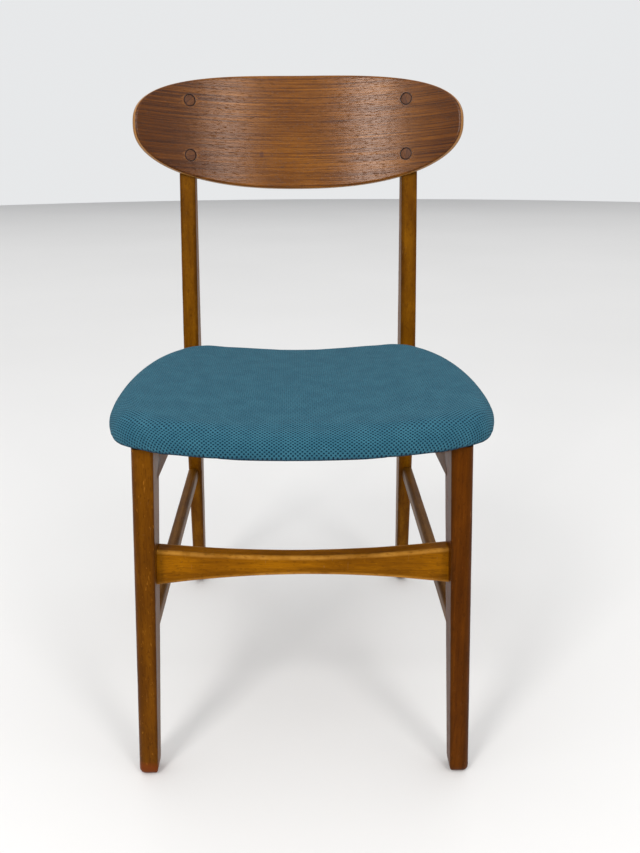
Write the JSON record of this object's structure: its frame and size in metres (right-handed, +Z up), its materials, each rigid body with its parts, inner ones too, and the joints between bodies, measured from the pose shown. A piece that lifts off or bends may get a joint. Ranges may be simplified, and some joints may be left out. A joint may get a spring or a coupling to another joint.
{
  "type": "dining chair",
  "caption": "Dining chair with a curved oval plywood backrest on two bent rear legs, tapered front legs, an arched front stretcher and a padded fabric seat.",
  "frame": {"origin": "on the floor, under the middle of the chair's bounding box", "axes": "+Z up, the front of the chair faces -Y, +X to the right as seen from the front"},
  "size_m": [0.453, 0.542, 0.8124],
  "materials": {
    "dust_cloth": "black lining cloth",
    "golden_beech": "beech stained golden amber, semi-gloss lacquer, figure visible",
    "raw_beech": "unstained beech",
    "screw_steel": "zinc-plated steel, slightly yellowed",
    "seat_fabric": "teal-blue upholstery cloth with a small dimpled lattice",
    "seat_foam": "polyurethane foam",
    "seat_plywood": "birch plywood, unfinished",
    "stained_beech": "beech stained brown-amber, semi-gloss lacquer, darker along the arrises",
    "teak_plug": "end-grain teak plug, satin",
    "teak_veneer": "teak veneer on moulded plywood, fine grain across, satin oil finish"
  },
  "bodies": {
    "root": {"backrest_plug_lower_left": "teak_plug", "backrest_plug_lower_right": "teak_plug", "backrest_plug_upper_left": "teak_plug", "backrest_plug_upper_right": "teak_plug", "backrest_screw_lower_left": "screw_steel", "backrest_screw_lower_right": "screw_steel", "backrest_screw_upper_left": "screw_steel", "backrest_screw_upper_right": "screw_steel", "backrest_shell": "teak_veneer", "dowel_cross_rail_left_lower": "raw_beech", "dowel_cross_rail_left_upper": "raw_beech", "dowel_cross_rail_right_lower": "raw_beech", "dowel_cross_rail_right_upper": "raw_beech", "dowel_rear_rail_left_lower": "raw_beech", "dowel_rear_rail_left_upper": "raw_beech", "dowel_rear_rail_right_lower": "raw_beech", "dowel_rear_rail_right_upper": "raw_beech", "dowel_side_rail_front_left_lower": "raw_beech", "dowel_side_rail_front_left_upper": "raw_beech", "dowel_side_rail_front_right_lower": "raw_beech", "dowel_side_rail_front_right_upper": "raw_beech", "dowel_side_rail_rear_left_lower": "raw_beech", "dowel_side_rail_rear_left_upper": "raw_beech", "dowel_side_rail_rear_right_lower": "raw_beech", "dowel_side_rail_rear_right_upper": "raw_beech", "dowel_stretcher_left_lower": "raw_beech", "dowel_stretcher_left_upper": "raw_beech", "dowel_stretcher_right_lower": "raw_beech", "dowel_stretcher_right_upper": "raw_beech", "front_cross_rail": "raw_beech", "front_leg_left": "stained_beech", "front_leg_right": "stained_beech", "front_stretcher": "golden_beech", "rear_leg_left": "stained_beech", "rear_leg_right": "stained_beech", "rear_rail": "stained_beech", "seat_board": "seat_plywood", "seat_cover": "seat_fabric", "seat_dust_cover": "dust_cloth", "seat_pad": "seat_foam", "seat_screw_front_left": "screw_steel", "seat_screw_front_right": "screw_steel", "seat_screw_rear_left": "screw_steel", "seat_screw_rear_right": "screw_steel", "side_rail_left": "stained_beech", "side_rail_right": "stained_beech", "side_stretcher_left": "stained_beech", "side_stretcher_right": "stained_beech"}
  },
  "joints": []
}
